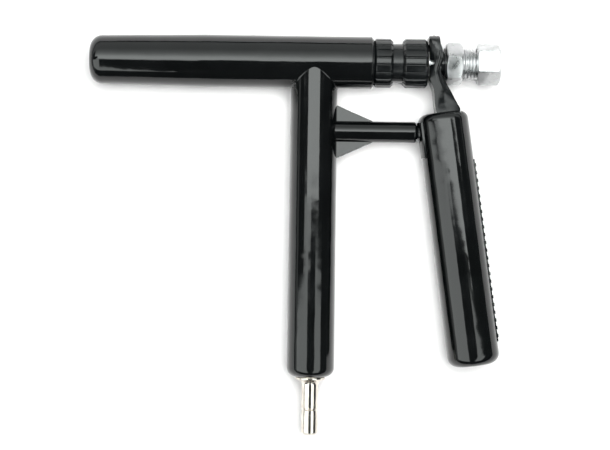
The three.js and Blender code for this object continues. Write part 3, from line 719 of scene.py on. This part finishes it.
def needle_fitting():
    h = HEX
    s = STEM
    bore = [
        (h["start"] - 1, 0), (h["start"] - 1, h["rod_hole"]), (h["rod_hole_end"], h["rod_hole"]),
        (h["rod_hole_end"], s["bore"]),
        (h["end"] + 1, s["bore"]), (h["end"] + 1, 0),
    ]
    finished(hex_body("fitting_hexagon", h, bore), "rod", "chrome", ["needle_fitting"], 25)
    root = h["end"] - s["sunk"]
    neck_end = h["end"] + s["neck"]
    thread_end = s["end"] - s["front_chamfer"]
    steps = int((thread_end - neck_end) / (s["pitch"] / s["rows_per_turn"]))
    rows = [(neck_end + (thread_end - neck_end) * i / steps, s["radius"]) for i in range(steps + 1)]
    neck_radius = s["radius"] - 0.9
    profile = [(root, s["bore"]), (root, neck_radius), (neck_end - 0.3, neck_radius)]
    profile += rows + [(s["end"], s["radius"] - 1), (s["end"], s["bore"]), (root, s["bore"])]
    stem = lathe("fitting_stem", profile, BARREL_AXIS, FINE,
                 thread_radius(neck_end, thread_end, s["pitch"], s["depth"]))
    finished(stem, "rod", "chrome", (), 40)


def union_nut():
    n = NUT
    wide = STEM["radius"] + n["thread_gap"]
    cavity = [
        (n["start"] - 1, 0), (n["start"] - 1, wide), (n["shoulder"], wide),
        (n["shoulder"], n["hole"]), (n["end"] + 1, n["hole"]), (n["end"] + 1, 0),
    ]
    finished(hex_body("union_nut_hexagon", n, cavity), "union_nut", "chrome", ["union_nut"], 25)


needle_fitting()
union_nut()

# ------------------------------------------------------------------ lever

# The lever's side outline, in the gun's plane: (x, y) corners and (control x, control y, x, y) curves.
LEVER_SIDE = [
    (56.6, 12.2), (57, 10), (57.1, 1.6), (59.2, 1.2), (59.4, -0.8), (57.1, -1.4), (57.1, -7.5),
    (59.2, -13), (60.2, -21.8), (61.8, -30),
    (71.9, -30), (72.8, -22.4), (67.4, -13.9, 62.6, -4.4), (61.8, -1.4, 64.1, 1.6), (64.5, 3, 64, 4.4),
    (62.2, 9.4), (62, 12.4), (62, 13.6, 61.1, 13.6), (60.4, 13.6, 60.3, 13.1), (60, 14, 59.2, 14),
    (58.5, 14, 58.3, 13.1), (58.2, 13.4, 57.5, 13.4), (56.6, 13.3, 56.6, 12.2),
]
# The lever's face down its length: gun y, then (x, half depth) at its left edge, first ridge,
# main ridge, right shoulder and right edge.
LEVER_FACE = [
    (15, (55, 7.4), (58.2, 8.4), (60.5, 8.8), (62.2, 8.6), (64, 7.0)),
    (10, (55, 6.9), (58.0, 9.2), (60.6, 9.7), (62.3, 9.5), (64, 7.0)),
    (3, (56, 6.9), (60.6, 9.6), (62.6, 10.6), (63.6, 10.2), (65.5, 7.0)),
    (-1, (56, 6.9), (59.8, 9.2), (62.0, 10.4), (62.9, 9.8), (65, 7.0)),
    (-4, (56, 6.9), (59.0, 9.0), (61.0, 10.2), (61.9, 9.4), (64, 7.0)),
    (-7, (56, 6.9), (59.3, 9.0), (61.2, 10.0), (62.2, 9.3), (64, 7.0)),
    (-10, (56.5, 7.0), (60.3, 9.0), (62.2, 9.8), (63.4, 9.1), (65.5, 7.0)),
    (-13, (57, 7.0), (61.6, 8.6), (63.5, 9.2), (65.6, 8.4), (67.6, 6.8)),
    (-16, (57.6, 6.7), (61.6, 8.1), (64.4, 8.6), (67.8, 7.5), (69.6, 6.2)),
    (-22, (57.8, 5.9), (61.6, 6.9), (64.6, 7.3), (71.4, 5.4), (73.4, 4.6)),
    (-31, (57.8, 5.6), (61.6, 6.6), (64.8, 7.0), (73.4, 4.7), (75, 4.2)),
]
LEVER_GROOVE = [
    (62.2, 6), (61.7, 2.6), (60.8, -1), (60, -4), (60.2, -7), (61.3, -10), (62.6, -13), (63.3, -15.5),
]


def lever_front():
    """The lever seen along the rod: a stirrup that narrows into the neck."""
    w = YOKE["half_width"]
    n = YOKE["neck_half_width"]
    return [(-n, -31), (-n, -20), (-w, -14, -w, -6), (-w, 5), (-w, 14.2, 0, 14.2), (w, 14.2, w, 5),
            (w, -6), (w, -14, n, -20), (n, -31)]


def lever_slot():
    s = YOKE["slot_half_width"]
    t = YOKE["slot_top"]
    b = YOKE["slot_bottom"]
    return [(-s, t - 3), (-s, b + 5), (-s, b, 0, b), (s, b, s, b + 5), (s, t - 3), (s, t, s - 3, t),
            (-s + 3, t), (-s, t, -s, t - 3)]


def grip_radius(along):
    share = along / GRIP["length"]
    return GRIP["top_radius"] + (GRIP["end_radius"] - GRIP["top_radius"]) * share


def shoe_blank(name, clearance):
    """The fulcrum plate before its pocket, grown by a clearance when it serves as a cutter."""
    s = SHOE
    inner = s["proud"] - s["depth"] - clearance
    outer = s["proud"] + clearance
    low = s["start"] - clearance
    high = s["end"] + clearance
    saddle = lathe(name, [
        (low, grip_radius(low) + inner), (low, grip_radius(low) + outer), (high, grip_radius(high) + outer),
        (high, grip_radius(high) + inner), (low, grip_radius(low) + inner),
    ], GRIP_AXIS)
    reach = s["half_width"] + clearance
    window = block("window", (0, -reach, low - 1), (GRIP["end_radius"] + 3, reach, high + 1), GRIP_AXIS)
    return combine(saddle, window, "INTERSECT")


def front_frame():
    """Local X across the gun's plane, local Y up it and local Z along the rod."""
    turn = Matrix(((0, 0, 1), (0, 1, 0), (-1, 0, 0))).to_4x4()
    return Matrix.Translation(GUN) @ turn @ Matrix.Scale(MM, 4)


def lever_body_space(steps=4):
    """The space under the lever's shaped face and over its mirror image."""
    rails = []
    for k in range(1, len(LEVER_FACE[0])):
        rails.append(smoothed([Vector((row[k][0], row[0], row[k][1])) for row in LEVER_FACE], steps))
    verts = []
    for points in zip(*rails):
        verts.extend(points)
        verts.extend(Vector((x, y, -z)) for x, y, z in reversed(points))
    count = 2 * len(rails)
    faces = [tuple(range(count)), tuple(range(len(verts) - count, len(verts)))]
    for row in range(len(verts) // count - 1):
        for i in range(count):
            j = (i + 1) % count
            a, b = row * count, (row + 1) * count
            faces.append((a + i, a + j, b + j, b + i))
    return new_object("lever_body_space", verts, faces, GUN_FRAME)


def tube(name, path, radius, place, sides=16):
    """A round bar that follows smoothed points, closed at both ends."""
    points = smoothed([Vector(p) for p in path])
    verts = []
    faces = []
    for i, point in enumerate(points):
        ahead = points[min(i + 1, len(points) - 1)] - points[max(i - 1, 0)]
        across = ahead.cross(Vector((0, 0, 1))).normalized()
        up = across.cross(ahead).normalized()
        for k in range(sides):
            angle = 2 * math.pi * k / sides
            verts.append(point + radius * (math.cos(angle) * across + math.sin(angle) * up))
    for row in range(len(points) - 1):
        for k in range(sides):
            j = (k + 1) % sides
            faces.append((row * sides + k, row * sides + j, (row + 1) * sides + j, (row + 1) * sides + k))
    faces.append(tuple(range(sides)))
    faces.append(tuple(range(len(verts) - sides, len(verts))))
    return new_object(name, verts, faces, place)


def smoothed(points, steps=6):
    """Points of a Catmull-Rom curve through the given points."""
    out = []
    ends = [2 * points[0] - points[1]] + points + [2 * points[-1] - points[-2]]
    for i in range(1, len(ends) - 2):
        a, b, c, d = ends[i - 1:i + 3]
        for k in range(steps):
            t = k / steps
            out.append(0.5 * (2 * b + (c - a) * t + (2 * a - 5 * b + 4 * c - d) * t ** 2
                              + (3 * b - a - 3 * c + d) * t ** 3))
    return out + [points[-1]]


def lever():
    half = YOKE["half_width"] + 1
    yoke = prism("lever_frame", outline_from(LEVER_SIDE), -half, half, GUN_FRAME)
    front = prism("front", outline_from(lever_front()), *YOKE_SPAN, front_frame())
    combine(yoke, front, "INTERSECT")
    slot = prism("slot", outline_from(lever_slot()), YOKE_SPAN[0] - 1, YOKE_SPAN[1] + 1, front_frame())
    combine(yoke, slot, "DIFFERENCE")
    combine(yoke, lever_body_space(), "INTERSECT")
    for side in (1, -1):
        path = [(x, y, side * YOKE["groove_height"]) for x, y in LEVER_GROOVE]
        combine(yoke, tube("groove", path, YOKE["groove_radius"], GUN_FRAME), "DIFFERENCE")
    bevelled(yoke, 0.35, 3, 35)
    c = CORE
    core = lathe("core", filleted([
        (c["start"], 0), (c["start"], c["radius"], c["top_corner"]),
        (c["end"], c["radius"], c["end_corner"]), (c["end"], 0),
    ]), GRIP_AXIS)
    combine(yoke, core, "UNION")
    combine(yoke, fulcrum_pocket(POCKET_GAP), "DIFFERENCE")
    combine(yoke, shoe_blank("blank", POCKET_GAP), "DIFFERENCE")
    finished(yoke, "lever", "satin_black", ["lever_yoke"], 24)


def grip_form(name):
    g = GRIP
    return lathe(name, filleted([
        (0, 0), (0, g["top_radius"], SLEEVE["top_corner"]),
        (g["length"], g["end_radius"], SLEEVE["end_corner"]), (g["length"], 0),
    ], 10), GRIP_AXIS)


def sleeve():
    g = GRIP
    w = SLEEVE
    inner = g["top_radius"] - w["wall"]
    end = g["length"] - w["end_cap"]
    made = grip_form("sleeve")
    cavity = lathe("cavity", [
        (w["top_cap"], 0), (w["top_cap"], inner - w["top_corner"] + 1.1), (w["top_corner"] + 0.6, inner),
        (g["length"] - w["end_corner"] + 1, inner), (end, inner - 2), (end, 0),
    ], GRIP_AXIS, BORE_SEGMENTS)
    for tool in (cavity, block("neck_hole", NECK_HOLE["low"], NECK_HOLE["high"], GUN_FRAME),
                 fulcrum_pocket(POCKET_GAP), shoe_blank("blank", POCKET_GAP)):
        combine(made, tool, "DIFFERENCE")
    finished(made, "lever", "gloss_black", ["grip_sleeve"], 20, long_walls=True)


def rib_strip():
    """Plain rounded cross ribs on a thin backing that follows the grip."""
    r = GRIP_RIBS
    last = r["first"] + r["count"] * r["pitch"]
    half = r["half_depth"] + 0.3
    made = prism("rib_strip", [
        (-grip_radius(r["first"]) + 1, r["first"] - 2),
        (-grip_radius(r["first"]) - r["base"], r["first"] - 2),
        (-grip_radius(last) - r["base"], last), (-grip_radius(last) + 1, last),
    ], -half, half, GRIP_AXIS @ Matrix.Rotation(math.radians(90), 4, "X"))
    for i in range(r["count"]):
        along = r["first"] + i * r["pitch"]
        x = -grip_radius(along)
        low = (x - r["base"] - r["proud"], -r["half_depth"], along)
        rib = block("rib", low, (x, r["half_depth"], along + r["width"]), GRIP_AXIS)
        combine(made, bevelled(rib, 0.35, 3, 30), "UNION")
    combine(made, grip_form("form"), "DIFFERENCE")
    finished(made, "lever", "satin_black", ["grip_rib_strip"], 30)


def shoe():
    made = shoe_blank("shoe", 0)
    combine(made, fulcrum_pocket(SHOE_POCKET_GAP), "DIFFERENCE")
    bevelled(made, 0.3, 3, 30)
    finished(made, "lever", "satin_black", ["fulcrum_shoe"], 30)


lever()
sleeve()
shoe()
rib_strip()

# ------------------------------------------------------------------ CAD nodes that stay


def dress_cad_nodes():
    """Gives every CAD node the material of its slot in the record."""
    slots = {entry["node"]: entry["material_slot"] for entry in frame["record"]["subparts"]}
    for name, obj in frame["nodes"].items():
        material = MATERIALS[slots[name]]
        if not obj.material_slots:
            obj.data.materials.append(material)
        for holder in obj.material_slots:
            holder.material = material


dress_cad_nodes()

# ------------------------------------------------------------------ table, lights and camera


def table():
    bpy.ops.mesh.primitive_plane_add(size=TABLE_SIZE, location=(0, 0, 0))
    floor = bpy.context.object
    floor.name = "table"
    material, tree, shader, where = start_material("table_white")
    fine = noise(tree, where, 30, 3)
    shade = two_colours(tree, fine, (0.88, 0.88, 0.87), (0.92, 0.92, 0.915))
    tree.links.new(shade, shader.inputs["Base Color"])
    shader.inputs["Roughness"].default_value = 0.6
    floor.data.materials.append(material)


def panel(name, x_range, y_range, radiance, turn=0.0, colour=(1, 1, 1)):
    """A flat soft light on the ceiling, facing down, placed from the middle of the view."""
    width = x_range[1] - x_range[0]
    depth = y_range[1] - y_range[0]
    data = bpy.data.lights.new(name, "AREA")
    data.shape = "RECTANGLE"
    data.size = width
    data.size_y = depth
    data.energy = radiance * math.pi * width * depth
    data.color = colour
    lamp = bpy.data.objects.new(name, data)
    bpy.context.scene.collection.objects.link(lamp)
    middle_x = (x_range[0] + x_range[1]) / 2
    middle_y = (y_range[0] + y_range[1]) / 2
    lamp.location = Matrix.Rotation(math.radians(turn), 3, "Z") @ Vector((middle_x, middle_y, CEILING))
    lamp.location += Vector((GUN.x, GUN.y + VIEW_CENTRE[1] * MM, 0))
    lamp.rotation_euler = (0, 0, math.radians(turn))
    return lamp


def reflected_panel(name, x_range, y_range, radiance, turn=0.0):
    """A light that is seen only in the gloss of the object."""
    panel(name, x_range, y_range, radiance, turn, COOL).visible_diffuse = False


def ceiling_glow(distance):
    """How bright the ceiling is at a distance beyond the middle of the view."""
    return FAR_GLOW + (NEAR_GLOW - FAR_GLOW) * math.exp(-max(0, distance - GLOW_EDGE) / GLOW_FADE)


def lights():
    """A ceiling that is bright beyond the top of the picture, side panels, and a soft key light."""
    world = bpy.data.worlds.new("studio")
    bpy.context.scene.world = world
    world.use_nodes = True
    backdrop = world.node_tree.nodes["Background"]
    backdrop.inputs["Color"].default_value = WORLD_COLOUR
    backdrop.inputs["Strength"].default_value = WORLD_STRENGTH
    reflected_panel("ceiling", (-0.75, 0.8), (GLOW_START, GLOW_EDGE), NEAR_GLOW)
    for i in range(GLOW_BANDS):
        near = GLOW_EDGE + i * GLOW_BAND
        glow = ceiling_glow(near + GLOW_BAND / 2)
        reflected_panel("ceiling", (-1.8, 1.6), (near, near + GLOW_BAND), glow)
    reflected_panel("far_ceiling", (-9, 9), (GLOW_EDGE + GLOW_BANDS * GLOW_BAND, GLOW_REACH), FAR_GLOW)
    for side_panel in SIDE_PANELS:
        reflected_panel(*side_panel)
    key = panel("key", KEY_RANGE, KEY_RANGE, KEY)
    key.location.z += KEY_LIFT
    key.visible_glossy = False


def camera():
    data = bpy.data.cameras.new("camera")
    data.sensor_width = SENSOR_WIDTH
    data.lens = data.sensor_width * CAMERA_DISTANCE / PICTURE_WIDTH
    eye = bpy.data.objects.new("camera", data)
    bpy.context.scene.collection.objects.link(eye)
    eye.location = GUN + Vector((VIEW_CENTRE[0] * MM, VIEW_CENTRE[1] * MM, CAMERA_DISTANCE))
    eye.rotation_euler = (0, 0, math.radians(ROLL))
    bpy.context.scene.camera = eye
    bpy.context.scene.view_settings.view_transform = "Standard"


table()
lights()
camera()
